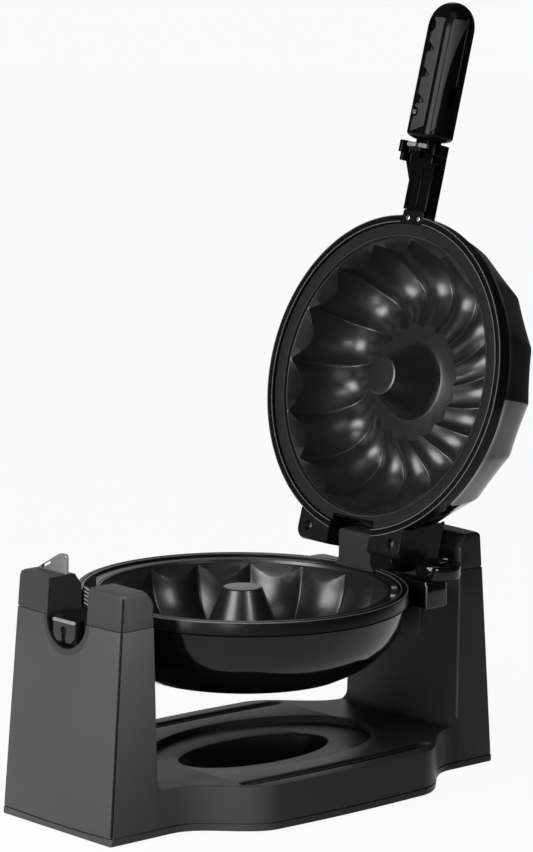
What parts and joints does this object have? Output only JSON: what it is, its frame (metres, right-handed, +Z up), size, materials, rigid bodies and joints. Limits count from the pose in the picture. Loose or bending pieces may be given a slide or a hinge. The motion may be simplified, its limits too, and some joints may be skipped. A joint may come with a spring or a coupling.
{
  "type": "electric bundt cake maker",
  "caption": "Turn-over electric ring cake maker: two fluted bake plates hinged together, carried between two pedestals, with a folding handle and a dial.",
  "frame": {"origin": "middle of the stand between its two pedestals, on the flat underside of the base plate; the four feet reach 2 mm lower", "axes": "+Z up, +X along the stand towards the hinge end, -X towards the handle end, +Y sideways, away from the temperature dial"},
  "size_m": [0.4229, 0.26, 0.6104],
  "materials": {
    "satin_black": "fine satin texture",
    "satin_charcoal": "satin",
    "gloss_black": "polished",
    "ring_grey": "semi-gloss",
    "non_stick": "cast, with a dark non-stick coat",
    "hinge_grey": "satin",
    "steel": "brushed",
    "rubber": "matt",
    "brass": "plain"
  },
  "bodies": {
    "stand": {"stand_housing": "satin_black", "front_cap_left": "satin_charcoal", "front_cap_right": "satin_charcoal", "rear_cap": "satin_charcoal", "base_plate": "satin_black", "foot_1": "rubber", "foot_2": "rubber", "foot_3": "rubber", "foot_4": "rubber", "base_screw_1": "steel", "base_screw_2": "steel", "base_screw_3": "steel", "base_screw_4": "steel", "rear_bush": "steel", "cord_gland": "rubber"},
    "cooker": {"lower_shell": "gloss_black", "lower_rim_ring": "ring_grey", "lower_bake_plate": "non_stick", "lower_heater": "steel", "lower_thermostat": "steel", "thermal_fuse": "brass", "rear_housing": "satin_black", "hinge_riser": "hinge_grey", "hinge_pin": "steel", "rear_shaft": "satin_black", "shaft_retainer": "steel", "front_trunnion": "satin_black", "front_collar": "satin_black", "stub_end_plate": "hinge_grey", "control_housing": "gloss_black"},
    "dial": {"control_dial": "ring_grey"},
    "lid": {"lid_shell": "gloss_black", "lid_rim_ring": "ring_grey", "lid_bake_plate": "non_stick", "lid_heater": "steel", "lid_thermostat": "steel", "lid_hinge_housing": "satin_black", "lug_screw_left": "steel", "lug_screw_right": "steel", "handle_flange": "ring_grey", "handle_screw_left": "steel", "handle_screw_right": "steel", "handle_arm": "gloss_black", "fold_pin": "steel"},
    "latch": {"latch_slide": "hinge_grey"},
    "grip": {"grip_lower_shell": "gloss_black", "grip_upper_shell": "gloss_black"}
  },
  "joints": [
    {"name": "flip", "type": "hinge", "parent": "stand", "child": "cooker", "pos_m": [-0.0137, 0, 0.1637], "axis": [1, 0, 0], "range_deg": [-20, 20]},
    {"name": "lid_hinge", "type": "hinge", "parent": "cooker", "child": "lid", "pos_m": [0.1175, 0, 0.1836], "axis": [0, 1, 0], "range_deg": [-104.6, 0]},
    {"name": "grip_fold", "type": "hinge", "parent": "lid", "child": "grip", "pos_m": [0.18921, 0, 0.52991], "axis": [0, 1, 0], "range_deg": [0, 90]},
    {"name": "latch_slide", "type": "slide", "parent": "lid", "child": "latch", "axis": [0.2521, 0, 0.9677], "range_m": [0, 0.003], "stiffness_N_per_m": 300},
    {"name": "dial_turn", "type": "hinge", "parent": "cooker", "child": "dial", "pos_m": [0.1236, -0.078, 0.17], "axis": [0, 0, 1], "range_deg": [0, 270]}
  ]
}
